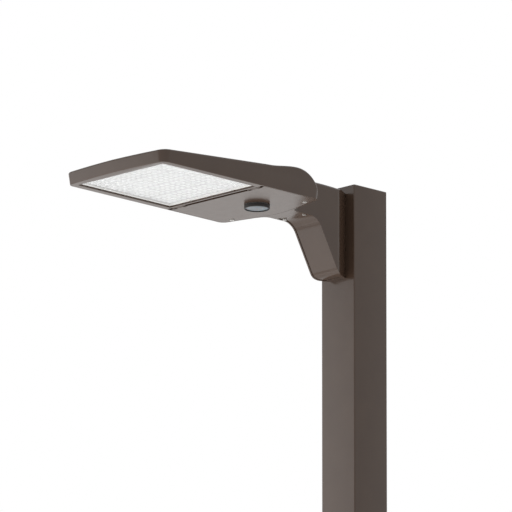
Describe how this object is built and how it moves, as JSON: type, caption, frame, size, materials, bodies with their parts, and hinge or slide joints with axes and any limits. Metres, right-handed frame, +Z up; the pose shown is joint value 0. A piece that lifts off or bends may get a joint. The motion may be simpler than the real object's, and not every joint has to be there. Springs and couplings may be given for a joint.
{
  "type": "area light",
  "caption": "Flat pole-mounted LED area light: cast head with lens panel, hinged driver door with sensor, and a curved hollow arm that bolts to a square pole.",
  "frame": {"origin": "on the arm's pole face, on the centre plane, level with the head's underside", "axes": "+Y out of the pole face into the pole, -Y towards the nose, +Z up, +X to the side that the picture shows"},
  "size_m": [0.3132, 0.6935, 0.1953],
  "materials": {
    "bronze_paint": "dark bronze satin powder coat on cast aluminium",
    "frame_paint": "white satin powder coat",
    "clear_acrylic": "clear moulded acrylic with low domes",
    "silicone_rubber": "grey silicone seal",
    "black_rubber": "matt black rubber",
    "white_board": "white solder mask",
    "led_phosphor": "yellow phosphor",
    "stainless_steel": "bright stainless steel",
    "green_steel": "green ground screw",
    "driver_case": "plain satin metal case",
    "surge_case": "black moulded case",
    "terminal_plastic": "off-white insulating plastic",
    "black_plastic": "black moulded plastic",
    "sensor_lens": "grey translucent moulded lens",
    "sensor_metal": "metal can"
  },
  "bodies": {
    "head": {"housing": "bronze_paint", "lens_gasket": "silicone_rubber", "led_boards": "white_board", "led_chips": "led_phosphor", "board_screws": "stainless_steel", "lens": "clear_acrylic", "lens_frame": "frame_paint", "lens_frame_screws": "stainless_steel", "driver": "driver_case", "surge_protector": "surge_case", "terminal_block": "terminal_plastic", "terminal_screws": "stainless_steel", "device_screws": "stainless_steel", "ground_screw": "green_steel", "wire_grommet": "black_rubber", "door_gasket": "silicone_rubber", "hinge_pins": "stainless_steel", "arm": "bronze_paint", "arm_gasket": "silicone_rubber", "arm_bolts": "stainless_steel", "arm_washers": "stainless_steel", "arm_cover": "bronze_paint", "arm_cover_screws": "stainless_steel"},
    "door": {"door": "bronze_paint", "sensor_housing": "black_plastic", "sensor_lens": "sensor_lens", "sensor_cell": "sensor_metal", "sensor_gasket": "silicone_rubber", "sensor_nut": "black_plastic"},
    "door_screw_left": {"door_screw_left": "stainless_steel", "captive_ring_left": "stainless_steel"},
    "door_screw_right": {"door_screw_right": "stainless_steel", "captive_ring_right": "stainless_steel"}
  },
  "joints": [
    {"name": "door_hinge", "type": "hinge", "parent": "head", "child": "door", "pos_m": [0, -0.37405, 0.005], "axis": [-1, 0, 0], "range_deg": [0, 95]},
    {"name": "left_screw_slide", "type": "slide", "parent": "door", "child": "door_screw_left", "axis": [0, 0, -1], "range_m": [0, 0.006]},
    {"name": "right_screw_slide", "type": "slide", "parent": "door", "child": "door_screw_right", "axis": [0, 0, -1], "range_m": [0, 0.006]}
  ]
}
